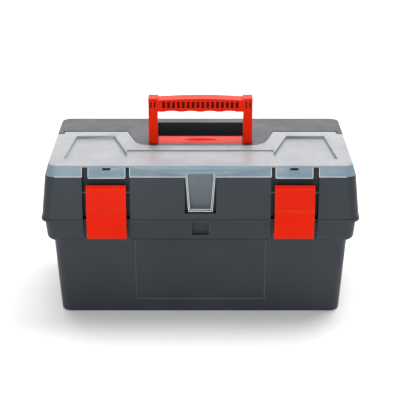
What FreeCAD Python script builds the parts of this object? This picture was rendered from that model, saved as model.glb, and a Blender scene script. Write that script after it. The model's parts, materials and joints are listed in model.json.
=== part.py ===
"""Toolbox with a lift-out tray and a see-through organiser lid.

Millimetres. X to the right, Y to the back, Z up; the front faces -Y.
The origin is on the ground, under the centre of the box.
"""
import FreeCAD, Part
import math
import os
import re
import Sketcher
from FreeCAD import Placement, Rotation, Vector

SIZES = {
    # tub
    "base_width": 381, "base_depth": 180, "base_roll": 2.5,
    "neck_width": 392.5, "neck_depth": 196, "neck_top": 111,
    "collar_width": 412, "collar_depth": 213, "collar_draft": 2.4, "collar_roll": 7.5,
    "collar_top": 141, "rim_top": 145.4, "rim_step": 0.5, "corner": 14, "wall": 2.8, "floor": 3,
    "ledge": 120, "panel_width": 174, "panel_foot": 20, "panel_sink": 0.8,
    "notch_width": 23, "notch_foot": 121, "notch_floor": 98.4,
    # lid
    "width": 420, "depth": 220, "lid_foot": 141.6, "lip": 3.4, "lip_out": 0.6,
    "shoulder_width": 407, "shoulder_depth": 202, "shoulder": 201.4,
    "top_width": 398, "top_depth": 194, "lid_top": 216, "lid_wall": 2.6,
    "rest_gap": 0.4, "rim_clearance": 0.6, "rim_lap": 2.6,
    # organiser in the lid, under its clear lid
    "clear_wall": 2.2, "clear_gap": 0.5, "hinge_line": 39.7, "hinge_gap": 1.6,
    "waist_line": -18.8, "waist_width": 171.4, "waist_back": 205.4, "waist_round": 28,
    "rib": 2.4,
    "trough_floor": 180, "trough_top": 212.4, "centre_bay_width": 156,
    "panel_back": 20, "panel_front": -72, "panel_waist": -50, "panel_inner": 119,
    "panel_neck": 98, "panel_outer": 172, "panel_flare": 9, "panel_depth": 4,
    "bridge_depth": 1.6, "bridge_back": -37,
    "tab_shift": 1.2, "tab_width": 48.2, "tab_drop": 1.2, "tab_slot_width": 10.6, "tab_slot_height": 3.2,
    "tab_slot_drop": 6,
    "tongue_top_width": 40, "tongue_foot_width": 31.2, "tongue_foot": 156,
    "tongue_back": 97.6, "tongue_rim": 1.8, "tongue_gap": 0.6, "tongue_groove": 2.8,
    "ear_width": 7.4, "ear_depth": 9, "ear_gap": 1.4, "clear_pin_radius": 1.5, "clear_pin_inset": 2.8,
    "clear_pin_length": 17, "clear_pin_end": 4.5, "clear_knuckle": 2.8, "clear_knuckle_length": 12,
    # latches
    "latch_centre": 123.2, "latch_width": 52, "channel_width": 62.4, "channel_floor": 91,
    "latch_top": 190.7, "latch_foot": 118.9, "latch_face": 111.8, "latch_step": 157,
    "latch_thick": 3.6, "latch_brow": 105.6, "latch_brow_height": 186, "latch_bevel": 2.6,
    "latch_pin_height": 181, "latch_pin_place": 102, "latch_pin_radius": 1.6,
    "latch_barrel": 3.6, "hook_reach": 2.8, "hook_height": 5, "hook_gap": 0.4,
    "keeper_width": 36, "keeper_foot": 128, "keeper_height": 5,
    # rear hinge
    "hinge_place": 110, "hinge_height": 136.8, "hinge_axis": 107.5, "knuckle": 4.3,
    "knuckle_length": 12, "knuckle_gap": 0.4, "hinge_pin_radius": 1.8, "hinge_notch": 101.6,
    # handle
    "handle_width": 141, "leg_width": 12.2, "handle_depth": 17.6, "handle_top": 279,
    "grip_height": 18.5, "pivot_height": 207.6, "block_raise": 0.9, "block_width": 13.4,
    "slit_near": 3.4, "slit_far": 8.6, "slit_width": 2,
    "cell_width": 4.2, "cell_pitch": 6.6, "cell_height": 8.8, "cell_depth": 4.6,
    "finger_pitch": 26, "finger_radius": 40, "finger_sink": 1.3,
    "handle_pin_radius": 2.2, "pin_bite": 4.4, "pocket_gap": 0.6, "pocket_back": 78.8,
    "pocket_floor": 197.4, "plate_back": 18.6, "plate_thick": 2.6, "plate_sink": 0.2,
    "oval_length": 44, "oval_width": 10.5, "oval_depth": 2,
    # tray and dividers
    "tray_width": 382, "tray_depth": 184, "tray_rim": 403, "tray_rim_depth": 188,
    "tray_floor": 78, "tray_draft": 3, "tray_wall": 2, "tray_rim_thick": 2.4,
    "web": 12, "grip_length": 120, "grip_bar": 14, "grip_rise": 158, "grip_base": 132,
    "divider_thick": 1.8, "divider_gap": 0.3, "guide": 3, "slot_gap": 0.3,
    "tray_divider_place": 92, "lid_divider_inset": 14,
    "running": 0.06,
}

doc = FreeCAD.newDocument("toolbox")
sheet = doc.addObject("Spreadsheet::Sheet", "sizes")
for row, (alias, value) in enumerate(SIZES.items(), 1):
    sheet.set(f"A{row}", alias)
    sheet.set(f"B{row}", str(value))
    sheet.setAlias(f"B{row}", alias)
doc.recompute()

BIG = "400"                      # reach of a cutting tool past the solid it cuts
SIDES = (("left", -1), ("right", 1))
ROWS = (("front", -1), ("back", 1))
CELLS = 16                       # small pockets along each face of the grip
FINGERS = 4                      # grooves under the grip


def bind(obj, prop, formula):
    """Tie a property to a formula written with the sheet's names."""
    def cell(match):
        word = match.group(0)
        return f"sizes.{word}" if word in SIZES else word
    obj.setExpression(prop, re.sub(r"[a-z_]+", cell, str(formula)))


def size(alias):
    return float(sheet.get(alias))


def mirrored(pair, side):
    """A span of X formulas for the right side, or its mirror image for the left."""
    low, high = pair
    return (low, high) if side > 0 else (f"-({high})", f"-({low})")


def centred(width):
    return (f"-({width})/2", f"({width})/2")


# ---- solids, each size a formula

def box(name, x, y, z):
    obj = doc.addObject("Part::Box", name)
    for length, axis, (low, high) in (("Length", "x", x), ("Width", "y", y), ("Height", "z", z)):
        bind(obj, length, f"({high}) - ({low})")
        bind(obj, f"Placement.Base.{axis}", low)
    return obj


def rod(name, radius, x, y, z):
    """Cylinder along X, between the two formulas of x."""
    obj = doc.addObject("Part::Cylinder", name)
    obj.Placement = Placement(Vector(), Rotation(Vector(0, 1, 0), 90))
    bind(obj, "Radius", radius)
    bind(obj, "Height", f"({x[1]}) - ({x[0]})")
    for axis, place in (("x", x[0]), ("y", y), ("z", z)):
        bind(obj, f"Placement.Base.{axis}", place)
    return obj


def frustum(name, low, high, z, corner, foot_roll=0):
    """Drafted block round the Z axis; low and high are its (width, depth) at the two heights."""
    wedge = doc.addObject("Part::Wedge", name + "_block")
    wedge.Placement = Placement(Vector(), Rotation(Vector(1, 0, 0), 90))
    spans = (("X", low[0]), ("Z", low[1]), ("X2", high[0]), ("Z2", high[1]))
    for prop, span in spans:
        bind(wedge, prop + "min", f"-({span})/2")
        bind(wedge, prop + "max", f"({span})/2")
    bind(wedge, "Ymin", z[0])
    bind(wedge, "Ymax", z[1])
    doc.recompute()
    upright = []
    foot = []
    for index, edge in enumerate(wedge.Shape.Edges, 1):
        heights = [vertex.Point.z for vertex in edge.Vertexes]
        if abs(heights[0] - heights[1]) > 0.01:
            upright.append((index, corner, corner))
        elif foot_roll and max(heights) < wedge.Shape.BoundBox.ZMin + 0.01:
            foot.append((index, foot_roll, foot_roll))
    rounded = doc.addObject("Part::Fillet", name)
    rounded.Base = wedge
    rounded.Edges = upright + foot
    doc.recompute()
    return rounded


def outline(sketch, corners):
    """Closed polygon in a sketch; each corner is a pair of formulas."""
    count = len(corners)
    turn = 2 * math.pi / count
    start = [Vector(100 * math.cos(i * turn), 100 * math.sin(i * turn), 0) for i in range(count)]
    for i in range(count):
        sketch.addGeometry(Part.LineSegment(start[i], start[(i + 1) % count]), False)
    for i in range(count):
        sketch.addConstraint(Sketcher.Constraint("Coincident", i, 2, (i + 1) % count, 1))
    for i, corner in enumerate(corners):
        for kind, place in zip(("DistanceX", "DistanceY"), corner):
            index = sketch.addConstraint(Sketcher.Constraint(kind, i, 1, 1.0))
            bind(sketch, f"Constraints[{index}]", place)


def new_body(name):
    return doc.addObject("PartDesign::Body", name)


def sketch_on(body, role, corners, offset="0"):
    """Sketch of one outline on an origin plane of the body, moved along the plane's normal."""
    plane = [item for item in body.Origin.OriginFeatures if item.Role == role][0]
    sketch = body.newObject("Sketcher::SketchObject", body.Name + "_sketch")
    sketch.AttachmentSupport = [(plane, "")]
    sketch.MapMode = "FlatFace"
    bind(sketch, "AttachmentOffset.Base.z", offset)
    outline(sketch, corners)
    return sketch


def pad(body, sketch, length, both_ways=False):
    feature = body.newObject("PartDesign::Pad", body.Name + "_pad")
    feature.Profile = sketch
    bind(feature, "Length", length)
    feature.Midplane = both_ways
    doc.recompute()
    return feature


def pocket(body, sketch, length, reverse=False, both_ways=False):
    """Pocket that has to take material away."""
    before = body.Shape.Volume
    feature = body.newObject("PartDesign::Pocket", body.Name + "_pocket")
    feature.Profile = sketch
    bind(feature, "Length", length)
    feature.Reversed = reverse
    feature.Midplane = both_ways
    doc.recompute()
    if body.Shape.Volume >= before:
        raise RuntimeError(f"{feature.Name} cuts nothing")
    return feature


def row(body, feature, direction, pitch, count):
    """Linear pattern of a feature; direction is a sketch and its axis."""
    pattern = body.newObject("PartDesign::LinearPattern", body.Name + "_row")
    pattern.Originals = [feature]
    pattern.Direction = direction
    pattern.Mode = "Spacing"
    bind(pattern, "Offset", pitch)
    pattern.Occurrences = count
    body.Tip = pattern
    doc.recompute()
    return pattern


def round_edges(body, radius, chosen):
    """Fillet the edges of the body's tip that chosen(edge) picks."""
    base = body.Tip
    names = [f"Edge{i}" for i, edge in enumerate(base.Shape.Edges, 1) if chosen(edge)]
    feature = body.newObject("PartDesign::Fillet", body.Name + "_round")
    feature.Base = (base, names)
    bind(feature, "Radius", radius)
    doc.recompute()
    return feature


def fuse(name, parts):
    obj = doc.addObject("Part::MultiFuse", name)
    obj.Shapes = parts
    obj.Refine = True
    return obj


def cut(name, base, tools):
    obj = doc.addObject("Part::Cut", name)
    obj.Base = base
    obj.Tool = tools[0] if len(tools) == 1 else fuse(name + "_tools", tools)
    obj.Refine = True
    return obj


def common(name, first, second):
    obj = doc.addObject("Part::MultiCommon", name)
    obj.Shapes = [first, second]
    obj.Refine = True
    return obj


def edge_along(axis):
    """Picks straight edges that run along an axis vector."""
    def test(edge):
        if edge.Curve.TypeId != "Part::GeomLine":
            return False
        return abs(abs(edge.tangentAt(edge.FirstParameter).dot(axis)) - 1) < 1e-6
    return test


# ---- places that several pieces share, as formulas

CHANNEL = ("latch_centre - channel_width/2", "latch_centre + channel_width/2")
CHANNEL_WALLS = (f"{CHANNEL[0]} - rib", f"{CHANNEL[1]} + rib")
LATCH = ("latch_centre - latch_width/2", "latch_centre + latch_width/2")
TAB_CENTRE = "latch_centre - tab_shift"
TAB = (f"{TAB_CENTRE} - tab_width/2", f"{TAB_CENTRE} + tab_width/2")
CLEAR_AXIS_Y = "hinge_line - clear_pin_inset"
CLEAR_AXIS_Z = "lid_top - clear_pin_inset"
PLATE_FRONT = "-handle_depth/2 - plate_sink"
EAR = ("top_width/2 - ear_width", "shoulder_width/2")
EAR_Y = ("hinge_line - ear_depth + hinge_gap", "hinge_line + hinge_gap + 1")
BAY_SIDE_X = ("centre_bay_width/2 + rib", "top_width/2 - clear_wall - rib - 1.6")
BAY_FRONT = "-(top_depth/2 - clear_wall - rib - 1)"
BAY_WAIST = "waist_line - rib"
BAY_BACK = "hinge_line - 4.2"
BAY_WIDE = "waist_back/2 + rib/3"
HINGE_HALF = "(1.5*knuckle_length + knuckle_gap)"
LID_KNUCKLE = "(knuckle_length/2)"
TUB_KNUCKLES = ((f"hinge_place - {HINGE_HALF}", f"hinge_place - {LID_KNUCKLE} - knuckle_gap"),
                (f"hinge_place + {LID_KNUCKLE} + knuckle_gap", f"hinge_place + {HINGE_HALF}"))
REST = "(rim_top + rest_gap)"
TONGUE_ROOM = "tongue_top_width + 2*tongue_gap"
TONGUE_FOOT = "tongue_foot - tongue_groove"
HOOK_TIP = "latch_thick + hook_reach - latch_face"
KEEPER_FACE = "(latch_face - latch_thick - hook_reach - hook_gap)"
LATCH_PIN = (f"{CHANNEL[0]} - rib", f"{CHANNEL[1]} + rib")
HANDLE_PIN = ("handle_width/2 - leg_width - pocket_gap - pin_bite",
              "handle_width/2 + pocket_gap + rib")
CLEAR_PIN = (f"{EAR[0]} + clear_pin_end - clear_pin_length", f"{EAR[0]} + clear_pin_end")
TRAY_REST = "(ledge + 0.3)"
DIVIDER_SLOT = "(divider_thick/2 + slot_gap)"
TRAY_WALL_FACE = "(tray_depth/2 - tray_draft - tray_wall)"
TRAY_GUIDES = (("web/2 - 0.5", "web/2 + guide"),
               (f"{TRAY_WALL_FACE} - guide", f"{TRAY_WALL_FACE} + 1.2"))


# ---- tub

def make_tub():
    """Drafted tub with a bulged collar, cut back at the latches, the notch and the rear hinge."""
    corner = size("corner")
    wall = size("wall")
    lower = frustum("tub_lower", ("base_width", "base_depth"), ("neck_width", "neck_depth"),
                    ("0", "neck_top + 4"), corner, size("base_roll"))
    collar_foot = ("collar_width - 2*collar_draft", "collar_depth - 2*collar_draft")
    collar = frustum("tub_collar", collar_foot, ("collar_width", "collar_depth"),
                     ("neck_top", "collar_top"), corner, size("collar_roll"))
    rim_size = ("collar_width - 2*rim_step", "collar_depth - 2*rim_step")
    rim = frustum("tub_rim", rim_size, rim_size, ("collar_top - 1", "rim_top"), corner)
    outer = fuse("tub_outer", [lower, collar, rim])

    # front centre panel, sunk a little into the wall
    sunk = frustum("panel_plane", ("base_width", "base_depth - 2*panel_sink"),
                   ("neck_width", "neck_depth - 2*panel_sink"), ("0", "neck_top + 4"), corner)
    panel_box = box("panel_box", centred("panel_width"), (f"-{BIG}/2", "0"),
                    ("panel_foot", "neck_top + 1"))
    panel = cut("panel", panel_box, [sunk])

    tools = [panel]
    walls = []
    for name, side in SIDES:
        tools.append(box(f"tub_channel_{name}", mirrored(CHANNEL, side),
                         (f"-{BIG}/2", "-notch_floor"), ("neck_top - 1", "rim_top + 1")))
        walls.append(box(f"tub_channel_wall_{name}",
                         mirrored((f"{CHANNEL[0]} - wall", f"{CHANNEL[1]} + wall"), side),
                         (f"-{BIG}/2", "wall - notch_floor"), ("neck_top - 4", "rim_top + 1")))
        # the rim stops short of the lid's channel walls
        tools.append(box(f"rim_break_{name}",
                         mirrored((f"{CHANNEL_WALLS[0]} - 1", f"{CHANNEL_WALLS[1]} + 1"), side),
                         (f"-{BIG}/2", "2 - notch_floor + wall"), ("collar_top", "rim_top + 1")))
        station = (f"hinge_place - {HINGE_HALF} - 2", f"hinge_place + {HINGE_HALF} + 2")
        tools.append(box(f"hinge_notch_{name}", mirrored(station, side),
                         ("hinge_notch", f"{BIG}/2"), ("hinge_height - knuckle - 3", "rim_top + 1")))
        walls.append(box(f"hinge_wall_{name}",
                         mirrored((f"{station[0]} - wall", f"{station[1]} + wall"), side),
                         ("hinge_notch - wall", f"{BIG}/2"), ("ledge - 4", "rim_top + 1")))
    tools.append(box("thumb_notch", centred("notch_width"), (f"-{BIG}/2", "-notch_floor"),
                     ("notch_foot", "collar_top + rim_step")))
    walls.append(box("thumb_wall", centred("notch_width + 2*wall"),
                     (f"-{BIG}/2", "wall - notch_floor"), ("ledge - 4", "collar_top")))

    lower_room = frustum("tub_room", ("base_width - 2*wall", "base_depth - 2*wall"),
                         ("neck_width - 2*wall", "neck_depth - 2*wall"),
                         ("floor", "neck_top + 12"), corner - wall, size("base_roll"))
    upper_room = frustum("collar_room", ("collar_width - 2*wall - 2", "collar_depth - 2*wall - 2"),
                         ("collar_width - 2*wall - 1", "collar_depth - 2*wall - 1"),
                         ("ledge", "rim_top + 1"), corner - wall)
    room = cut("tub_hollow", fuse("tub_rooms", [lower_room, upper_room]), walls)
    shell = cut("tub_shell", outer, tools + [room])

    added = []
    for name, side in SIDES:
        keeper = ("latch_centre - keeper_width/2", "latch_centre + keeper_width/2")
        added.append(box(f"keeper_{name}", mirrored(keeper, side),
                         (f"-{KEEPER_FACE}", "0.5 - notch_floor"),
                         ("keeper_foot", "keeper_foot + keeper_height")))
        for end, span in enumerate(TUB_KNUCKLES):
            reach = mirrored(span, side)
            added.append(rod(f"tub_knuckle_{name}_{end}", "knuckle", reach, "hinge_axis",
                             "hinge_height"))
            added.append(box(f"tub_knuckle_arm_{name}_{end}", reach,
                             ("hinge_notch - 0.5", "hinge_axis"),
                             ("hinge_height - knuckle", "hinge_height + 1.5")))
    solid = fuse("tub_with_knuckles", [shell] + added)
    bores = [rod(f"tub_bore_{name}", "hinge_pin_radius",
                 mirrored((f"hinge_place - {HINGE_HALF} - 1", f"hinge_place + {HINGE_HALF} + 1"), side),
                 "hinge_axis", "hinge_height") for name, side in SIDES]
    return cut("tub", solid, bores)


def make_hinge_pin(name, side):
    reach = mirrored((f"hinge_place - {HINGE_HALF}", f"hinge_place + {HINGE_HALF}"), side)
    return rod(f"hinge_pin_{name}", "hinge_pin_radius", reach, "hinge_axis", "hinge_height")


# ---- lid

def lid_hull(name, corner):
    """Outer form of the closed lid, the clear lid included."""
    lip = frustum(name + "_lip", ("width", "depth"), ("width", "depth"),
                  ("lid_foot", "lid_foot + lip"), corner)
    face = ("width - 2*lip_out", "depth - 2*lip_out")
    side = frustum(name + "_side", face, ("shoulder_width", "shoulder_depth"),
                   ("lid_foot + 0.5", "shoulder"), corner)
    crown = frustum(name + "_crown", ("shoulder_width", "shoulder_depth"), ("top_width", "top_depth"),
                    ("shoulder", "lid_top"), corner)
    return fuse(name, [lip, side, crown])


def crown_room(name, inset):
    """Tall core of the lid's crown, inset from its outer faces, with its corners rounded."""
    return frustum(name, (f"shoulder_width - 2*{inset}", f"shoulder_depth - 2*{inset}"),
                   (f"top_width - 2*{inset}", f"top_depth - 2*{inset}"),
                   ("shoulder - 30", "lid_top + 2"), size("corner") - size("clear_wall") - 1)


def clear_plan(name, grow, hinge_grow, low, high):
    """Prism over the clear lid's outline, seen from above, grown at its back edges."""
    body = new_body(name)
    waist = f"waist_line + {grow}"
    back = f"hinge_line + {hinge_grow}"
    inner = f"waist_width/2 - {grow}"
    inner_back = f"waist_back/2 - {grow}"
    corners = [(f"-{BIG}", f"-{BIG}"), (BIG, f"-{BIG}"), (BIG, back), (inner_back, back),
               (inner, waist), (f"-({inner})", waist), (f"-({inner_back})", back),
               (f"-{BIG}", back)]
    pad(body, sketch_on(body, "XY_Plane", corners, low), f"({high}) - ({low})")
    upright = edge_along(Vector(0, 0, 1))

    def at_waist(edge):
        place = edge.Vertexes[0].Point
        return upright(edge) and abs(place.x) < 150 and place.y < 0
    round_edges(body, f"waist_round - {grow}", at_waist)
    return body


def bays(name, grow, low, high):
    """The organiser's three bays in the lid, grown by a wall for the bay walls themselves."""
    front = f"{BAY_FRONT} - {grow}"
    solids = [box(name + "_centre", centred(f"centre_bay_width + 2*{grow}"),
                  (front, f"{BAY_WAIST} + {grow}"), (low, high))]
    for side_name, side in SIDES:
        wide = (f"{BAY_SIDE_X[0]} - {grow}", f"{BAY_SIDE_X[1]} + {grow}")
        solids.append(box(f"{name}_front_{side_name}", mirrored(wide, side),
                          (front, f"{BAY_WAIST} + {grow}"), (low, high)))
        slim = (f"{BAY_WIDE} - {grow}", wide[1])
        solids.append(box(f"{name}_back_{side_name}", mirrored(slim, side),
                          (f"{BAY_WAIST} - 1", f"{BAY_BACK} + {grow}"), (low, high)))
    return solids


def channel_block(name, side, grow, foot, top):
    return box(name, mirrored((f"{CHANNEL[0]} - {grow}", f"{CHANNEL[1]} + {grow}"), side),
               (f"-{BIG}/2", f"{grow} - channel_floor"), (foot, top))


def make_lid():
    """Hollow lid: organiser bays in front, handle pocket behind, latch channels, hinge knuckles."""
    corner = size("corner")
    lid_wall = size("lid_wall")
    hull = lid_hull("lid_hull", corner)
    seat = clear_plan("clear_seat", "clear_gap", "hinge_gap", "shoulder", "lid_top + 1")
    base = cut("lid_base", hull, [seat])
    rim_limit = crown_room("rim_limit", "(clear_wall + clear_gap)")
    rim = common("organiser_rim", fuse("rim_bays", bays("rim_bay", "rib", "shoulder - 3", "trough_top")),
                 rim_limit)

    # room below, open at the foot, less the walls of everything that hangs into it
    inner = ("width - 2*lip_out - 2*lid_wall", "depth - 2*lip_out - 2*lid_wall")
    lap = ("collar_width + 2*rim_clearance", "collar_depth + 2*rim_clearance")
    stop = ("collar_width - 2*rim_lap", "collar_depth - 2*rim_lap")
    skirt_room = frustum("skirt_room", lap, lap, ("lid_foot - 1", REST), corner - lid_wall)
    stop_room = frustum("stop_room", stop, stop, ("lid_foot", f"{REST} + 2.4"), corner - lid_wall)
    main_room = frustum("main_room", inner,
                        ("shoulder_width - 2*lid_wall", "shoulder_depth - 2*lid_wall"),
                        (f"{REST} + 2.2", "shoulder - lid_wall"), corner - lid_wall)
    rear_box = box("rear_box", centred(BIG), ("hinge_line + hinge_gap + rib", f"{BIG}/2"),
                   ("shoulder - 20", "lid_top - lid_wall"))
    rear_room = common("rear_room", rear_box, crown_room("rear_limit", "lid_wall"))
    flank_box = box("flank_box", centred("waist_back"),
                    ("waist_line + clear_gap + rib", "hinge_line + hinge_gap + rib + 1"),
                    ("shoulder - 20", "lid_top - lid_wall"))
    flank_limit = clear_plan("flank_limit", "(clear_gap + rib)", "(hinge_gap + rib)",
                             "shoulder - 21", "lid_top + 1")
    flank_room = cut("flank_room", flank_box, [flank_limit])
    kept = bays("bay_walls", "rib", "trough_floor - rib", f"{BIG}")
    kept.append(box("pocket_walls", centred("handle_width + 2*pocket_gap + 2*rib"),
                    (f"{PLATE_FRONT} - pocket_gap - rib", "pocket_back + rib"),
                    ("pocket_floor - rib", f"{BIG}")))
    kept.append(box("tongue_walls", centred(f"{TONGUE_ROOM} + 2*rib"),
                    (f"-{BIG}/2", "tongue_gap + rib - tongue_back"),
                    (f"{TONGUE_FOOT} - rib", f"{BIG}")))
    for name, side in SIDES:
        kept.append(channel_block(f"channel_walls_{name}", side, "rib", "lid_foot - 2", f"{BIG}"))
    rooms = fuse("lid_rooms", [skirt_room, stop_room, main_room, rear_room, flank_room])
    hollow = cut("lid_hollow", rooms, kept)

    blocked = [channel_block(f"bay_clip_{name}", side, "rib", "0", BIG) for name, side in SIDES]
    bay_limit = crown_room("bay_limit", "(clear_wall + clear_gap + rib)")
    bay_rooms = fuse("bay_rooms", bays("bay", "0", "trough_floor", "lid_top + 1"))
    tools = [hollow, common("bay_hollow", cut("bays_clipped", bay_rooms, blocked), bay_limit)]
    for name, side in SIDES:
        tools.append(channel_block(f"channel_{name}", side, "0", "lid_foot - 1", "lid_top + 1"))
    tools.append(box("tongue_room", centred(TONGUE_ROOM), (f"-{BIG}/2", "tongue_gap - tongue_back"),
                     (TONGUE_FOOT, "lid_top + 1")))
    plate = ("handle_width/2 - leg_width - pocket_gap", "handle_width/2 + pocket_gap")
    pocket_room = box("pocket_room", centred("handle_width + 2*pocket_gap"),
                      (f"{PLATE_FRONT} - pocket_gap", "pocket_back"),
                      ("pocket_floor", "lid_top + 1"))
    pedestal = box("pedestal", centred(f"2*({plate[0]})"),
                   (f"{PLATE_FRONT} - pocket_gap - 1", "plate_back"),
                   ("pocket_floor - 1", "lid_top - plate_thick"))
    tools.append(cut("handle_pocket", pocket_room, [pedestal]))
    tools.append(box("pedestal_core", centred(f"2*({plate[0]} - pin_bite - rib)"),
                     (f"{PLATE_FRONT} + rib", "plate_back - rib"),
                     ("pocket_floor - rib - 1", "lid_top - plate_thick - rib")))
    for name, side in SIDES:
        tools.append(box(f"knuckle_room_{name}", mirrored(("waist_back/2 - 1", f"{EAR[0]} + 0.5"), side),
                         (f"{CLEAR_AXIS_Y} - clear_knuckle - 1.2", "hinge_line + 0.5"),
                         (f"{CLEAR_AXIS_Z} - clear_knuckle - 0.8", "trough_top + 1")))
    shell = cut("lid_shell", fuse("lid_block", [base, rim]), tools)

    ears = []
    for name, side in SIDES:
        block = box(f"ear_block_{name}", mirrored(EAR, side), EAR_Y, ("shoulder - 2", "lid_top"))
        ears.append(common(f"ear_{name}", block, hull))
    knuckles = []
    for name, side in SIDES:
        reach = mirrored((f"hinge_place - {LID_KNUCKLE}", f"hinge_place + {LID_KNUCKLE}"), side)
        knuckles.append(rod(f"lid_knuckle_{name}", "knuckle", reach, "hinge_axis", "hinge_height"))
        knuckles.append(box(f"lid_knuckle_arm_{name}", reach,
                            ("hinge_axis - 3.4", "hinge_axis + knuckle"),
                            ("hinge_height", "lid_foot + lip - 0.2")))
    solid = fuse("lid_with_ears", [shell] + ears + knuckles)

    bores = []
    for name, side in SIDES:
        half = f"{HINGE_HALF} + 2"
        bores.append(rod(f"lid_bore_{name}", "hinge_pin_radius + running",
                         mirrored((f"hinge_place - {half}", f"hinge_place + {half}"), side),
                         "hinge_axis", "hinge_height"))
        bores.append(rod(f"latch_bore_{name}", "latch_pin_radius", mirrored(LATCH_PIN, side),
                         "-latch_pin_place", "latch_pin_height"))
        bores.append(rod(f"handle_bore_{name}", "handle_pin_radius", mirrored(HANDLE_PIN, side),
                         "0", "pivot_height"))
        bores.append(rod(f"clear_bore_{name}", "clear_pin_radius", mirrored(CLEAR_PIN, side),
                         CLEAR_AXIS_Y, CLEAR_AXIS_Z))
    return cut("lid", solid, bores)


# ---- clear lid of the organiser

def panel_recess(name, grow, depth, side):
    """Sunk panel over one side of the clear lid, narrow at the back and wide at the front."""
    turn = "" if side > 0 else "-"
    corners = [(f"{turn}(panel_inner - {grow})", f"panel_back + {grow}"),
               (f"{turn}(panel_outer + {grow})", f"panel_back + {grow}"),
               (f"{turn}(panel_outer + panel_flare + {grow})", f"panel_front - {grow}"),
               (f"{turn}(panel_neck - {grow})", f"panel_front - {grow}"),
               (f"{turn}(panel_neck - {grow})", f"panel_waist + {grow}/2")]
    body = new_body(name)
    pad(body, sketch_on(body, "XY_Plane", corners, depth), f"lid_top + 1 - ({depth})")
    return body


def make_clear_lid():
    """Thin see-through lid with sunk panels, two snap tabs, a finger tongue and end knuckles."""
    corner = size("corner")
    hull = lid_hull("clear_hull", corner)
    plan = clear_plan("clear_plan", "0", "0", "shoulder + rest_gap", "lid_top + 1")
    block = common("clear_block", hull, plan)

    room_low = frustum("clear_room_low", ("shoulder_width - 2*clear_wall", "shoulder_depth - 2*clear_wall"),
                       ("top_width - 2*clear_wall", "top_depth - 2*clear_wall"),
                       ("shoulder - 0.1", "lid_top - clear_wall"), corner - size("clear_wall"))
    sunk = [panel_recess(f"sunk_{name}", "clear_wall", "lid_top - panel_depth - clear_wall", side)
            for name, side in SIDES]
    hollow = cut("clear_hollow", room_low, sunk)
    tools = [hollow]
    for name, side in SIDES:
        tools.append(panel_recess(f"recess_{name}", "0", "lid_top - panel_depth", side))
        for inner, span in enumerate(((CHANNEL[0], TAB[0]), (TAB[1], CHANNEL[1]))):
            tools.append(box(f"tab_gap_{name}_{inner}", mirrored(span, side),
                             (f"-{BIG}/2", "-channel_floor"), ("0", "lid_top - clear_wall")))
        slot = (f"{TAB_CENTRE} - tab_slot_width/2", f"{TAB_CENTRE} + tab_slot_width/2")
        tools.append(box(f"tab_slot_{name}", mirrored(slot, side), (f"-{BIG}/2", "-channel_floor"),
                         ("lid_top - tab_slot_drop", "lid_top - tab_slot_drop + tab_slot_height")))
        tools.append(box(f"ear_gap_{name}", mirrored((f"{EAR[0]} - 0.6", BIG), side),
                         (f"{EAR_Y[0]} - ear_gap", BIG), ("0", "lid_top + 1")))
    tools.append(box("bridge", centred("2*panel_neck + 1"), ("panel_front", "bridge_back"),
                     ("lid_top - bridge_depth", "lid_top + 1")))

    added = []
    for name, side in SIDES:
        tab = box(f"tab_block_{name}", mirrored(TAB, side),
                  (f"-{BIG}/2", "clear_wall - shoulder_depth/2 + 0.4"),
                  ("shoulder - tab_drop", "shoulder + 4"))
        tab_hull = common(f"tab_{name}", tab, hull)
        added.append(tab_hull)
    top_half = "tongue_top_width/2"
    foot_half = "tongue_foot_width/2"
    tongue = new_body("tongue_block")
    pad(tongue, sketch_on(tongue, "XZ_Plane",
                          [(f"-{foot_half}", "tongue_foot"), (foot_half, "tongue_foot"),
                           (top_half, "lid_top - clear_wall + 0.4"),
                           (f"-{top_half}", "lid_top - clear_wall + 0.4")], "tongue_back"),
        "30")
    added.append(common("tongue", tongue, hull))
    slope = "(tongue_top_width - tongue_foot_width)/2"
    trough = new_body("tongue_trough")
    pad(trough, sketch_on(trough, "XZ_Plane",
                          [(f"tongue_rim - {foot_half}", "tongue_foot + clear_wall"),
                           (f"{foot_half} - tongue_rim", "tongue_foot + clear_wall"),
                           (f"{top_half} - tongue_rim + {slope}*0.1", "lid_top + 1"),
                           (f"tongue_rim - {top_half} - {slope}*0.1", "lid_top + 1")],
                          "tongue_back + clear_wall"), "30")
    knuckle_span = (f"{EAR[0]} - 0.6 - clear_knuckle_length", f"{EAR[0]} - 0.6")
    for name, side in SIDES:
        added.append(rod(f"clear_knuckle_{name}", "clear_knuckle", mirrored(knuckle_span, side),
                         CLEAR_AXIS_Y, CLEAR_AXIS_Z))
    bores = [rod(f"clear_lid_bore_{name}", "clear_pin_radius + running",
                 mirrored((f"{knuckle_span[0]} - 3", BIG), side), CLEAR_AXIS_Y, CLEAR_AXIS_Z)
             for name, side in SIDES]
    shell = cut("clear_shell", block, tools)
    return cut("organiser_lid", fuse("clear_with_tabs", [shell] + added), [trough] + bores)


def make_clear_pin(name, side):
    return rod(f"organiser_hinge_pin_{name}", "clear_pin_radius", mirrored(CLEAR_PIN, side),
               CLEAR_AXIS_Y, CLEAR_AXIS_Z)


# ---- latches

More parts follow.
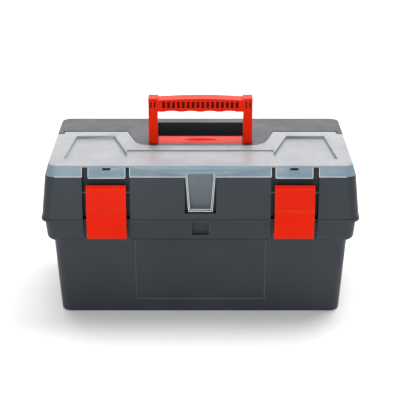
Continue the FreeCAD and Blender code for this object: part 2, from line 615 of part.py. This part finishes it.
def make_latch(name, side):
    """Latch lever: cranked plate with a barrel round its pin and a hook at the foot."""
    lever = new_body(f"latch_{name}_lever")
    inside = "latch_thick - latch_face"
    profile = [("-latch_face", "latch_foot"), ("-latch_face", "latch_step"),
               ("0.8 - latch_face", "latch_step + 1.2"), ("-latch_brow", "latch_brow_height"),
               ("latch_bevel - latch_brow", "latch_top"),
               ("latch_bevel - latch_brow + 2.4", "latch_top"),
               ("latch_thick - latch_brow", "latch_brow_height - 1"),
               (f"{inside} + 0.8", "latch_step + 2"), (inside, "latch_step"),
               (inside, "latch_foot + hook_height + 2"), (HOOK_TIP, "latch_foot + hook_height"),
               (HOOK_TIP, "latch_foot + 1.4"), (inside, "latch_foot")]
    place = "latch_centre" if side > 0 else "-latch_centre"
    pad(lever, sketch_on(lever, "YZ_Plane", profile, place), "latch_width", both_ways=True)
    barrel = rod(f"latch_barrel_{name}", "latch_barrel", mirrored(LATCH, side),
                 "-latch_pin_place", "latch_pin_height")
    bore = rod(f"latch_eye_{name}", "latch_pin_radius + running", mirrored(LATCH_PIN, side),
               "-latch_pin_place", "latch_pin_height")
    return cut(f"latch_{name}", fuse(f"latch_{name}_blank", [lever, barrel]), [bore])


def make_latch_pin(name, side):
    return rod(f"latch_pin_{name}", "latch_pin_radius", mirrored(LATCH_PIN, side),
               "-latch_pin_place", "latch_pin_height")


# ---- handle

def make_handle():
    """Carrying handle: two legs and a ribbed grip with finger grooves; its legs turn on pins."""
    handle = new_body("handle_frame")
    half = "handle_width/2"
    inner = "handle_width/2 - leg_width"
    under = "handle_top - grip_height"
    frame = [(f"-{half}", "pivot_height"), (f"-({inner})", "pivot_height"), (f"-({inner})", under),
             (inner, under), (inner, "pivot_height"), (half, "pivot_height"),
             (half, "handle_top + block_raise"), (f"{half} - block_width", "handle_top + block_raise"),
             (f"{half} - block_width", "handle_top"), (f"block_width - {half}", "handle_top"),
             (f"block_width - {half}", "handle_top + block_raise"),
             (f"-{half}", "handle_top + block_raise")]
    pad(handle, sketch_on(handle, "XZ_Plane", frame), "handle_depth", both_ways=True)
    middle = "handle_top - grip_height*0.47"
    first = f"-{(CELLS - 1)/2}*cell_pitch"
    cell = [(f"{first} - cell_width/2", f"{middle} - cell_height/2"),
            (f"{first} + cell_width/2", f"{middle} - cell_height/2"),
            (f"{first} + cell_width/2", f"{middle} + cell_height/2"),
            (f"{first} - cell_width/2", f"{middle} + cell_height/2")]
    for face, reverse in (("handle_depth/2", False), ("-handle_depth/2", True)):
        sketch = sketch_on(handle, "XZ_Plane", cell, face)
        cells = pocket(handle, sketch, "cell_depth", reverse=reverse)
        row(handle, cells, (sketch, ["H_Axis"]), "cell_pitch", CELLS)
    eyes = [rod(f"leg_end_{name}", "handle_depth/2", mirrored((inner, half), side), "0",
                "pivot_height") for name, side in SIDES]
    blank = fuse("handle_blank", [handle] + eyes)
    grooves = []
    for index in range(FINGERS):
        groove = doc.addObject("Part::Cylinder", f"finger_groove_{index}")
        groove.Placement = Placement(Vector(), Rotation(Vector(1, 0, 0), 90))
        bind(groove, "Radius", "finger_radius")
        bind(groove, "Height", "handle_depth + 2")
        bind(groove, "Placement.Base.x", f"{index - (FINGERS - 1)/2}*finger_pitch")
        bind(groove, "Placement.Base.y", "handle_depth/2 + 1")
        bind(groove, "Placement.Base.z", f"{under} - finger_radius + finger_sink")
        grooves.append(groove)
    underside = box("underside", centred(f"2*({inner})"), centred("handle_depth + 4"),
                    (f"{under} - 4", f"{under} + 4"))
    grooves = [common("finger_grooves", fuse("groove_rods", grooves), underside)]
    slits = []
    for name, side in SIDES:
        for index, inset in enumerate(("slit_near", "slit_far")):
            for face, (near, far) in enumerate((("-handle_depth/2 - 1", "-handle_depth/2 + cell_depth"),
                                                ("handle_depth/2 - cell_depth", "handle_depth/2 + 1"))):
                reach = (f"{half} - {inset} - slit_width/2", f"{half} - {inset} + slit_width/2")
                slits.append(box(f"slit_{name}_{index}_{face}", mirrored(reach, side),
                                 (near, far), (f"{middle} - cell_height/2", f"{middle} + cell_height/2")))
    bores = [rod(f"leg_bore_{name}", "handle_pin_radius + running", mirrored(HANDLE_PIN, side), "0",
                 "pivot_height") for name, side in SIDES]
    return cut("handle", blank, grooves + slits + bores)


def make_handle_pin(name, side):
    return rod(f"handle_pin_{name}", "handle_pin_radius", mirrored(HANDLE_PIN, side), "0",
               "pivot_height")


def make_handle_plate():
    """Cover plate between the handle's legs, with a shallow oval dish."""
    body = new_body("plate_blank")
    half = "(handle_width/2 - leg_width - pocket_gap)"
    corners = [(f"-{half}", PLATE_FRONT), (half, PLATE_FRONT), (half, "plate_back"),
               (f"-{half}", "plate_back")]
    pad(body, sketch_on(body, "XY_Plane", corners, "lid_top - plate_thick"), "plate_thick")
    dish = doc.addObject("Part::Ellipsoid", "plate_dish")
    bind(dish, "Radius1", "oval_depth")
    bind(dish, "Radius2", "oval_length/2")
    bind(dish, "Radius3", "oval_width/2")
    bind(dish, "Placement.Base.y", f"({PLATE_FRONT} + plate_back)/2")
    bind(dish, "Placement.Base.z", "lid_top")
    return cut("handle_plate", body, [dish])


# ---- tray and dividers

def make_tray():
    """Lift-out tray with a rim that rests on the tub's end ledges and a bridge handle."""
    corner = size("corner") - 6
    low = ("tray_width - 2*tray_draft", "tray_depth - 2*tray_draft")
    shell = frustum("tray_outer", low, ("tray_width", "tray_depth"), ("tray_floor", "ledge + 1"),
                    corner)
    rim = frustum("tray_rim_plate", ("tray_rim", "tray_rim_depth"), ("tray_rim", "tray_rim_depth"),
                  (TRAY_REST, f"{TRAY_REST} + tray_rim_thick"), corner)
    wall = "2*tray_wall"
    room = frustum("tray_room", (f"{low[0]} - {wall}", f"{low[1]} - {wall}"),
                   (f"tray_width - {wall}", f"tray_depth - {wall}"),
                   ("tray_floor + tray_wall", f"{TRAY_REST} + tray_rim_thick + 1"),
                   corner - size("tray_wall"))
    tray = cut("tray_shell", fuse("tray_block", [shell, rim]), [room])
    web = box("tray_web", centred("tray_width - 2*tray_draft - 2*tray_wall + 1"), centred("web"),
              ("tray_floor + 1", f"{TRAY_REST} + tray_rim_thick"))
    web_room = box("tray_web_room", centred("tray_width - 2*tray_draft - 8*tray_wall"),
                   centred("web - 2*tray_wall"),
                   ("tray_floor - 1", f"{TRAY_REST} + tray_rim_thick - tray_wall"))
    bridge = new_body("tray_bridge")
    reach = "grip_length/2"
    top = [(f"-{reach} - 10", "grip_base - 12"), (f"{reach} + 10", "grip_base - 12"),
           (reach, "grip_rise"), (f"-{reach}", "grip_rise")]
    pad(bridge, sketch_on(bridge, "XZ_Plane", top), "web", both_ways=True)
    opening = [(f"grip_bar - {reach}", f"{TRAY_REST} + tray_rim_thick + 1"),
               (f"{reach} - grip_bar", f"{TRAY_REST} + tray_rim_thick + 1"),
               (f"{reach} - grip_bar - 4", "grip_rise - grip_bar"),
               (f"grip_bar + 4 - {reach}", "grip_rise - grip_bar")]
    pocket(bridge, sketch_on(bridge, "XZ_Plane", opening), "web + 2", both_ways=True)
    guides = []
    for name, side in SIDES:
        for row_name, row_side in ROWS:
            for number, (face, inward) in enumerate(TRAY_GUIDES):
                y = mirrored((face, inward), row_side)
                for edge, shift in enumerate((f"-{DIVIDER_SLOT} - tray_wall", DIVIDER_SLOT)):
                    x = mirrored((f"tray_divider_place + ({shift})",
                                  f"tray_divider_place + ({shift}) + tray_wall"), side)
                    guides.append(box(f"tray_guide_{name}_{row_name}_{number}_{edge}", x, y,
                                      ("tray_floor + 1", TRAY_REST)))
    solid = fuse("tray_with_web", [tray, web, bridge] + guides)
    return cut("tray", solid, [web_room])


def make_tray_divider(name, side, row_name, row_side):
    x = mirrored(("tray_divider_place - divider_thick/2", "tray_divider_place + divider_thick/2"), side)
    y = mirrored(("web/2 + divider_gap", f"{TRAY_WALL_FACE} - divider_gap"), row_side)
    return box(f"tray_divider_{row_name}_{name}", x, y,
               ("tray_floor + tray_wall + divider_gap", f"{TRAY_REST} - 2"))


def make_lid_divider(name, side):
    """Cross wall that stands in one side bay of the organiser."""
    x = mirrored((f"{BAY_SIDE_X[0]} + divider_gap", f"{BAY_SIDE_X[1]} - divider_gap"), side)
    return box(f"organiser_divider_{name}", x,
               (f"{BAY_WAIST} - lid_divider_inset - divider_thick", f"{BAY_WAIST} - lid_divider_inset"),
               ("trough_floor + divider_gap", "lid_top - panel_depth - clear_wall - 1"))


nodes = [make_tub(), make_lid(), make_clear_lid(), make_handle(), make_handle_plate(), make_tray()]
for side_name, side_sign in SIDES:
    nodes.append(make_hinge_pin(side_name, side_sign))
    nodes.append(make_clear_pin(side_name, side_sign))
    nodes.append(make_handle_pin(side_name, side_sign))
    nodes.append(make_latch(side_name, side_sign))
    nodes.append(make_latch_pin(side_name, side_sign))
    nodes.append(make_lid_divider(side_name, side_sign))
    for row_label, row_sign in ROWS:
        nodes.append(make_tray_divider(side_name, side_sign, row_label, row_sign))
doc.recompute()

for item in doc.Objects:
    if "Invalid" in item.State or "Error" in item.State:
        raise RuntimeError(f"{item.Name} did not build: {item.State}")
for node in nodes:
    if node.Shape.isNull() or not node.Shape.isValid():
        raise RuntimeError(f"{node.Name} has no valid shape")

os.makedirs("parts", exist_ok=True)
for node in nodes:
    node.Label = node.Name
    node.Shape.exportStep(f"parts/{node.Label}.step")
    bounds = node.Shape.BoundBox
    print(f"{node.Label:28s} solids {len(node.Shape.Solids)} volume {node.Shape.Volume:11.1f} "
          f"z {bounds.ZMin:6.1f} {bounds.ZMax:6.1f} y {bounds.YMin:7.1f} {bounds.YMax:7.1f}")
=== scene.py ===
"""Looks of the toolbox with tray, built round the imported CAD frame. Metres; the front faces -Y."""
import json
import math

import bmesh
import bpy
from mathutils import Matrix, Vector


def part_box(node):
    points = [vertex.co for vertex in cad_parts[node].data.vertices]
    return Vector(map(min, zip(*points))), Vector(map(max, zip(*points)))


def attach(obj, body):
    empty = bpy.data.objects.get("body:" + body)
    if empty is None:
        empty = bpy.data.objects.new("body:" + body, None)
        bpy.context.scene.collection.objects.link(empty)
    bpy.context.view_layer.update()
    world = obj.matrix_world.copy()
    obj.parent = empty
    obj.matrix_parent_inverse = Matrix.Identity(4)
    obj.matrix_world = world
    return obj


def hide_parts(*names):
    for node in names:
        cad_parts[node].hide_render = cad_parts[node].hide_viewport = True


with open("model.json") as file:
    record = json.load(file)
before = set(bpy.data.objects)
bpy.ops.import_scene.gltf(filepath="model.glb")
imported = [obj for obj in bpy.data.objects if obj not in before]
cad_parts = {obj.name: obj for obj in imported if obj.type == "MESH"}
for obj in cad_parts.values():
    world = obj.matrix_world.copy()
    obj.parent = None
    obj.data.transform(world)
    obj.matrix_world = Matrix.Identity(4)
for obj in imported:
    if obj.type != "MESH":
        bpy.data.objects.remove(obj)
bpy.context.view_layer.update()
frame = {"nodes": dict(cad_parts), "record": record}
NODES = frame["nodes"]
BODY_OF = {node: body for body, members in frame["record"]["behaviour"]["bodies"].items()
           for node in members}
SLOT_OF = {part["node"]: part["material_slot"] for part in frame["record"]["subparts"]}
MM = 0.001
EDGE_ANGLE = 28  # degrees between two faces from which their edge is rounded
# material indices after 0, which is the finish of the node's own slot
# index 1 is a lighter finish on rounded edges, a painted highlight; indices 2 and 3 are darker finishes,
# painted shade
EDGE_HIGHLIGHT, SHADED = 1, 2
TROUGH, WALL = 2, 3


# ---- materials

def shader(name):
    """New material; returns it with its node tree and its Principled shader."""
    material = bpy.data.materials.new(name)
    material.use_nodes = True
    tree = material.node_tree
    return material, tree, tree.nodes["Principled BSDF"]


def noise(tree, scale, detail=3.0, roughness=0.5):
    """Noise in object space, so it keeps its scale in metres and needs no UVs."""
    place = tree.nodes.new("ShaderNodeTexCoord")
    node = tree.nodes.new("ShaderNodeTexNoise")
    node.inputs["Scale"].default_value = scale
    node.inputs["Detail"].default_value = detail
    node.inputs["Roughness"].default_value = roughness
    tree.links.new(place.outputs["Object"], node.inputs["Vector"])
    return node.outputs["Fac"]


NOISE_LOW, NOISE_HIGH = 0.3, 0.7  # nearly all noise values lie between these


def spread(tree, value, low, high):
    """Maps a noise value to the span low to high."""
    node = tree.nodes.new("ShaderNodeMapRange")
    node.inputs["From Min"].default_value = NOISE_LOW
    node.inputs["From Max"].default_value = NOISE_HIGH
    node.inputs["To Min"].default_value = low
    node.inputs["To Max"].default_value = high
    tree.links.new(value, node.inputs["Value"])
    return node.outputs["Result"]


def tint(tree, value, dark, light):
    """Colour between two tones, by a noise value."""
    ramp = tree.nodes.new("ShaderNodeValToRGB")
    ramp.color_ramp.elements[0].position = NOISE_LOW
    ramp.color_ramp.elements[1].position = NOISE_HIGH
    ramp.color_ramp.elements[0].color = (*dark, 1)
    ramp.color_ramp.elements[1].color = (*light, 1)
    tree.links.new(value, ramp.inputs["Fac"])
    return ramp.outputs["Color"]


def bump(tree, height, strength, distance, below=None):
    """Bumped normal; below is a coarser bump that it lies on."""
    node = tree.nodes.new("ShaderNodeBump")
    node.inputs["Strength"].default_value = strength
    node.inputs["Distance"].default_value = distance
    tree.links.new(height, node.inputs["Height"])
    if below is not None:
        tree.links.new(below, node.inputs["Normal"])
    return node.outputs["Normal"]


def moulded_plastic(name, dark, light, rough, grain=2200, grain_depth=0.05 * MM, specular=0.5):
    """Moulded plastic: fine spark-eroded grain, slow tone drift and uneven gloss."""
    material, tree, bsdf = shader(name)
    drift = noise(tree, 9.0, 2.0)
    tree.links.new(tint(tree, drift, dark, light), bsdf.inputs["Base Color"])
    smear = noise(tree, 38.0, 4.0, 0.6)
    tree.links.new(spread(tree, smear, rough[0], rough[1]), bsdf.inputs["Roughness"])
    grains = noise(tree, grain, 2.0)
    ripple = bump(tree, noise(tree, 14.0, 1.0), 0.25, 0.6 * MM)
    tree.links.new(bump(tree, grains, 0.35, grain_depth, ripple), bsdf.inputs["Normal"])
    bsdf.inputs["Specular IOR Level"].default_value = specular
    return material


def clear_plastic(name, dark, light, cover):
    """Milky see-through polypropylene: cloudy, with a soft sheen; cover is how much it hides."""
    material, tree, bsdf = shader(name)
    cloud = noise(tree, 22.0, 3.0, 0.6)
    tree.links.new(tint(tree, cloud, dark, light), bsdf.inputs["Base Color"])
    tree.links.new(spread(tree, noise(tree, 60.0, 3.0), 0.38, 0.5), bsdf.inputs["Roughness"])
    tree.links.new(bump(tree, noise(tree, 30.0, 2.0), 0.12, 0.4 * MM), bsdf.inputs["Normal"])
    bsdf.inputs["Alpha"].default_value = cover
    bsdf.inputs["IOR"].default_value = 1.49
    return material


def steel(name):
    """Blackened steel wire: fine drawing marks along X."""
    material, tree, bsdf = shader(name)
    place = tree.nodes.new("ShaderNodeTexCoord")
    stretch = tree.nodes.new("ShaderNodeMapping")
    stretch.inputs["Scale"].default_value = (60, 3000, 3000)  # long marks along X, fine across it
    tree.links.new(place.outputs["Object"], stretch.inputs["Vector"])
    lines = tree.nodes.new("ShaderNodeTexNoise")
    tree.links.new(stretch.outputs["Vector"], lines.inputs["Vector"])
    tree.links.new(tint(tree, lines.outputs["Fac"], (0.03, 0.03, 0.034), (0.07, 0.07, 0.077)),
                   bsdf.inputs["Base Color"])
    tree.links.new(spread(tree, lines.outputs["Fac"], 0.25, 0.4), bsdf.inputs["Roughness"])
    bsdf.inputs["Metallic"].default_value = 1.0
    return material


def orange(name, dark, light, rough, specular):
    """Finish of the orange pieces, whose grain is finer and shallower."""
    return moulded_plastic(name, dark, light, rough, 1500, 0.02 * MM, specular)


MATERIALS = {
    "dark_plastic": moulded_plastic("dark_plastic", (0.019, 0.025, 0.032), (0.025, 0.032, 0.040),
                                    (0.36, 0.46), specular=0.26),
    "orange_plastic": orange("orange_plastic", (0.63, 0.011, 0.0005), (0.70, 0.016, 0.0006),
                             (0.34, 0.42), 0.06),
    "clear_plastic": clear_plastic("clear_plastic", (0.33, 0.335, 0.35), (0.39, 0.395, 0.41), 0.86),
    # the bright clear edge finish is a painted highlight; the two bluish clear finishes after it are
    # painted shade on the trough and the walls
    "clear_edge": clear_plastic("clear_edge", (0.74, 0.78, 0.80), (0.84, 0.87, 0.88), 0.95),
    "clear_thin": clear_plastic("clear_thin", (0.08, 0.105, 0.12), (0.11, 0.14, 0.155), 0.8),
    "clear_slope": clear_plastic("clear_slope", (0.19, 0.27, 0.33), (0.25, 0.34, 0.40), 0.84),
    # the lighter dark and orange edge finishes are painted highlight; the two darker orange finishes
    # after them are painted shade
    "dark_edge": moulded_plastic("dark_edge", (0.075, 0.092, 0.106), (0.105, 0.124, 0.140),
                                 (0.3, 0.4), specular=0.4),
    "orange_edge": orange("orange_edge", (0.90, 0.060, 0.012), (0.95, 0.11, 0.035), (0.25, 0.35), 0.3),
    "orange_deep": orange("orange_deep", (0.34, 0.004, 0.001), (0.42, 0.006, 0.001), (0.4, 0.5), 0.05),
    "orange_shade": orange("orange_shade", (0.15, 0.002, 0.001), (0.22, 0.003, 0.001), (0.4, 0.5), 0.05),
    "tray_plastic": moulded_plastic("tray_plastic", (0.030, 0.034, 0.038), (0.038, 0.043, 0.048),
                                    (0.4, 0.5), specular=0.3),
    "steel_pin": steel("steel_pin"),
}


# ---- pieces

def finish_piece(piece, node, *extra):
    """The piece takes the node's place, body and material slot; extra finishes come after it."""
    for finish in (SLOT_OF[node], *extra):
        piece.data.materials.append(MATERIALS[finish])
    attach(piece, BODY_OF[node])
    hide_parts(node)


def open_copy(node):
    """Editable copy of a CAD node, its flat faces joined up."""
    bm = bmesh.new()
    bm.from_mesh(NODES[node].data)
    bmesh.ops.remove_doubles(bm, verts=bm.verts, dist=1e-6)
    bmesh.ops.dissolve_limit(bm, angle_limit=math.radians(0.4), verts=bm.verts, edges=bm.edges)
    return bm


def sharp(edge, angle=EDGE_ANGLE):
    """True for an edge whose two faces turn by more than angle, in degrees."""
    return len(edge.link_faces) == 2 and edge.calc_face_angle(0) > math.radians(angle)


def middle(edge):
    return (edge.verts[0].co + edge.verts[1].co) / 2


def level(edge, height, slack=0.15 * MM):
    """True for an edge that lies at one height."""
    return all(abs(vert.co.z - height) < slack for vert in edge.verts)


def span(edge):
    return edge.verts[1].co - edge.verts[0].co


def upright(edge):
    return abs(span(edge).z) > 0.95 * span(edge).length


def round_off(bm, chosen, width, segments=2, profile=0.5, finish=-1):
    """Rounds the chosen edges; finish is the material index of the new faces."""
    picked = [edge for edge in bm.edges if chosen(edge)]
    if picked:
        bmesh.ops.bevel(bm, geom=picked, offset=width, segments=segments, profile=profile,
                        affect="EDGES", clamp_overlap=True, material=finish)


def close_copy(bm, node, *extra):
    """Turns the edited copy into the piece that stands for the node."""
    for face in bm.faces:
        face.smooth = True
    mesh = bpy.data.meshes.new(node + "_rounded")
    bm.to_mesh(mesh)
    bm.free()
    mesh.set_sharp_from_angle(angle=math.radians(35))
    piece = bpy.data.objects.new(node + "_rounded", mesh)
    bpy.context.scene.collection.objects.link(piece)
    flat = piece.modifiers.new("flat_faces", "WEIGHTED_NORMAL")
    flat.mode = "FACE_AREA"
    flat.weight = 90
    flat.keep_sharp = True
    finish_piece(piece, node, *extra)


def make_plain(node, width, painted_highlight):
    """Node with its sharp edges rounded and given a lighter finish, a painted highlight."""
    bm = open_copy(node)
    # the rounded edges take the lighter edge finish: painted highlight
    round_off(bm, sharp, width, 2, 0.6, EDGE_HIGHLIGHT)
    close_copy(bm, node, painted_highlight)


def make_latch(node):
    """Latch with a rounded ridge across its front in a lighter finish, a painted highlight, and a darker
    finish on its top, painted shade.
    """
    top_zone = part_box(node)[1][2] - 6 * MM
    bm = open_copy(node)

    def ridge(edge):
        run = span(edge)
        return abs(run.x) > 0.95 * run.length and run.length > 30 * MM and sharp(edge, 4)

    # painted shade: the top faces take the darker orange finish
    for face in bm.faces:
        on_top = face.normal.z > 0.7 and face.calc_center_median().z > top_zone
        face.material_index = SHADED if on_top else 0
    # the rounded edges and the ridge take the lighter orange finish: painted highlight
    round_off(bm, lambda edge: sharp(edge) or ridge(edge), 0.7 * MM, 2, 0.6, EDGE_HIGHLIGHT)
    close_copy(bm, node, "orange_edge", "orange_deep")


def make_handle():
    """Handle with a crowned grip and shaded cells."""
    block_drop = 0.9 * MM  # the grip's top lies this far below the corner blocks
    block_width = 13.4 * MM
    crown_rise, crown_sink = 2.1, 1.4  # millimetres added at the middle, and taken off all along
    crown_steps = 12
    _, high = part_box("handle")
    half_width, face_y, block_top = high
    grip_top = block_top - block_drop
    half_grip = half_width - block_width
    bm = open_copy("handle")

    def in_cells(place):
        inside = abs(place.y) < face_y - 0.5 * MM and abs(place.x) < half_width - 1.5 * MM
        return inside and block_top - 14.5 * MM < place.z < grip_top - 3.5 * MM

    def top_rim(edge):
        place = middle(edge)
        return sharp(edge) and abs(place.y) > face_y - 0.1 * MM and place.z > grip_top - 1.6 * MM

    for face in bm.faces:
        face.material_index = SHADED if in_cells(face.calc_center_median()) else 0
    for index in range(1, crown_steps):
        place = -half_grip + 2 * half_grip * index / crown_steps
        top = [face for face in bm.faces if face.calc_center_median().z > grip_top - 0.1 * MM]
        edges = dict.fromkeys(edge for face in top for edge in face.edges)
        verts = dict.fromkeys(vert for face in top for vert in face.verts)
        bmesh.ops.bisect_plane(bm, geom=[*top, *edges, *verts], plane_co=(place, 0, 0),
                               plane_no=(1, 0, 0))
    for vert in bm.verts:
        if abs(vert.co.z - grip_top) < 0.1 * MM and abs(vert.co.x) <= half_grip + 0.1 * MM:
            arch = math.cos(math.pi / 2 * vert.co.x / half_grip)
            vert.co.z += (crown_rise * arch - crown_sink) * MM
    # the rounded rims and edges take the lighter orange finish: painted highlight
    round_off(bm, top_rim, 1.6 * MM, 3, 0.5, EDGE_HIGHLIGHT)
    round_off(bm, sharp, 0.6 * MM, 2, 0.6, EDGE_HIGHLIGHT)
    close_copy(bm, "handle", "orange_edge", "orange_shade")


def make_organiser_lid():
    """Clear lid: soft outer rim, rounded recess corners, painted shade in bluish tones on its walls and
    darker painted shade in the tongue trough, and painted highlights on its small rounded edges.
    """
    low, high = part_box("organiser_lid")
    half_width, back, top = high
    front = low[1]
    waist_half = 90 * MM  # the recess's rounded corners lie outside this
    bm = open_copy("organiser_lid")

    def in_recess(place):
        return front + 30 * MM < place.y < back - 12 * MM and abs(place.x) < half_width - 14 * MM

    def recess_corner(edge):
        return (upright(edge) and in_recess(middle(edge)) and abs(middle(edge).x) > waist_half
                and max(vert.co.z for vert in edge.verts) > top - 0.2 * MM)

    def outer_rim(edge):
        return sharp(edge, 15) and level(edge, top) and not in_recess(middle(edge))

    def recess_rim(edge):
        return sharp(edge) and in_recess(middle(edge)) and middle(edge).z > top - 5 * MM

    def trough(face):
        centre = face.calc_center_median()
        return (abs(centre.x) < 20 * MM and centre.y < front + 8 * MM and centre.z < top - 3 * MM
                and face.normal.y < -0.3)

    def wall(face):
        return abs(face.normal.z) < 0.6

    round_off(bm, recess_corner, 4 * MM, 4)
    bm.normal_update()
    # painted shade: the tongue trough takes the dark bluish finish, the walls the bluish wall finish
    for face in bm.faces:
        face.material_index = TROUGH if trough(face) else WALL if wall(face) else 0
    round_off(bm, outer_rim, 2.2 * MM, 4)
    # the thin edges leave these two almost no width: they only soften how the edges are shaded. The
    # recess rims take the bluish wall finish, painted shade; the small roundings take the bright edge
    # finish, painted highlight
    round_off(bm, recess_rim, 1.5 * MM, 3, 0.5, WALL)
    round_off(bm, sharp, 0.6 * MM, 2, 0.6, EDGE_HIGHLIGHT)
    close_copy(bm, "organiser_lid", "clear_edge", "clear_thin", "clear_slope")


def make_highlight_bead():
    """Thin bright bead-like tube along the cut edges at the front of the clear lid: a painted highlight.
    """
    low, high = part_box("organiser_lid")
    bm = open_copy("organiser_lid")

    def cut_edge(edge):
        run, place = span(edge), middle(edge)
        at_front = any(face.normal.y < -0.7 for face in edge.link_faces)
        below_rim = place.z <= high[2] - 4 * MM and place.y <= low[1] + 14 * MM
        of_slit = abs(run.x) > 0.9 * run.length and run.length < 12 * MM or run.length <= 4 * MM
        return at_front and below_rim and not of_slit and sharp(edge, 50) and edge.is_convex

    curve = bpy.data.curves.new("organiser_lid_highlight_bead", "CURVE")
    curve.dimensions = "3D"
    curve.bevel_depth = 0.36 * MM
    curve.bevel_resolution = 2
    curve.use_fill_caps = True
    for edge in filter(cut_edge, bm.edges):
        spline = curve.splines.new("POLY")
        spline.points.add(1)
        for point, vert in zip(spline.points, edge.verts):
            point.co = (*vert.co, 1)
    bm.free()
    curve.materials.append(MATERIALS["clear_edge"])
    highlight_bead = bpy.data.objects.new("organiser_lid_highlight_bead", curve)
    bpy.context.scene.collection.objects.link(highlight_bead)
    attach(highlight_bead, BODY_OF["organiser_lid"])


# node: width of its rounded edges in millimetres, and their lighter finish, a painted highlight
PLAIN = {"tub": (0.7, "dark_edge"), "lid": (0.6, "dark_edge"), "handle_plate": (0.5, "orange_edge"),
         "tray": (0.4, "dark_edge")}
LATCHES = ("latch_left", "latch_right")
REPLACED = (*PLAIN, *LATCHES, "handle", "organiser_lid")
for node_name, (millimetres, highlight_material) in PLAIN.items():
    make_plain(node_name, millimetres * MM, highlight_material)
for node_name in LATCHES:
    make_latch(node_name)
make_handle()
make_organiser_lid()
make_highlight_bead()
for node_name, node_object in NODES.items():
    if node_name not in REPLACED:
        node_object.data.materials.clear()
        node_object.data.materials.append(MATERIALS[SLOT_OF[node_name]])


# ---- floor, light and camera

def make_floor():
    """Pale floor, plain near the object and glowing more with distance, so that it stays pale there."""
    bpy.ops.mesh.primitive_plane_add(size=40, location=(0, 0, 0))
    floor = bpy.context.object
    floor.name = "floor"
    material, tree, bsdf = shader("pale_floor")
    bsdf.inputs["Base Color"].default_value = (0.95, 0.95, 0.95, 1)
    bsdf.inputs["Roughness"].default_value = 0.9
    bsdf.inputs["Emission Color"].default_value = (1, 1, 1, 1)
    place = tree.nodes.new("ShaderNodeTexCoord")
    reach = tree.nodes.new("ShaderNodeVectorMath")
    reach.operation = "LENGTH"
    glow = tree.nodes.new("ShaderNodeMapRange")
    for socket, value in (("From Min", 0.4), ("From Max", 5.0), ("To Min", 0.05), ("To Max", 0.5)):
        glow.inputs[socket].default_value = value
    tree.links.new(place.outputs["Object"], reach.inputs[0])
    tree.links.new(reach.outputs["Value"], glow.inputs["Value"])
    tree.links.new(glow.outputs["Result"], bsdf.inputs["Emission Strength"])
    floor.data.materials.append(material)


def area_light(name, place, target, size, watts):
    """Rectangular soft light at place, turned to target."""
    lamp = bpy.data.lights.new(name, "AREA")
    lamp.shape = "RECTANGLE"
    lamp.size, lamp.size_y = size
    lamp.energy = watts
    holder = bpy.data.objects.new(name, lamp)
    holder.location = place
    holder.rotation_euler = (Vector(target) - Vector(place)).to_track_quat("-Z", "Y").to_euler()
    bpy.context.scene.collection.objects.link(holder)


def make_lights():
    """High key and top lights, a low front fill, and a wide back light that the tops reflect."""
    area_light("key", (1.0, 0.7, 2.3), (0, 0, 0.1), (1.2, 1.0), 28)
    area_light("fill", (-0.4, -2.4, 0.8), (0, 0, 0.1), (1.8, 1.0), 28)
    area_light("top", (-0.2, 0.5, 2.4), (0, 0, 0.1), (1.8, 1.2), 30)
    area_light("back", (0, 2.4, 1.15), (0, 0, 0.2), (4.2, 1.7), 42)
    world = bpy.data.worlds.new("studio")
    world.use_nodes = True
    background = world.node_tree.nodes["Background"]
    background.inputs["Color"].default_value = (1, 1, 1, 1)
    background.inputs["Strength"].default_value = 0.42
    bpy.context.scene.world = world


def make_camera(elevation=22.5, distance=1.6, aim=0.1278, half_view=9.96, side=-0.0006):
    """Front view from slightly above; angles in degrees. aim is a height, side a shift along X."""
    camera = bpy.data.cameras.new("camera")
    camera.sensor_width = 36
    camera.lens = camera.sensor_width / 2 / math.tan(math.radians(half_view))
    holder = bpy.data.objects.new("camera", camera)
    tilt = math.radians(elevation)
    holder.location = (side, -distance * math.cos(tilt), aim + distance * math.sin(tilt))
    holder.rotation_euler = (math.pi / 2 - tilt, 0, 0)
    bpy.context.scene.collection.objects.link(holder)
    bpy.context.scene.camera = holder


make_floor()
make_lights()
make_camera()
bpy.context.scene.view_settings.view_transform = "Standard"
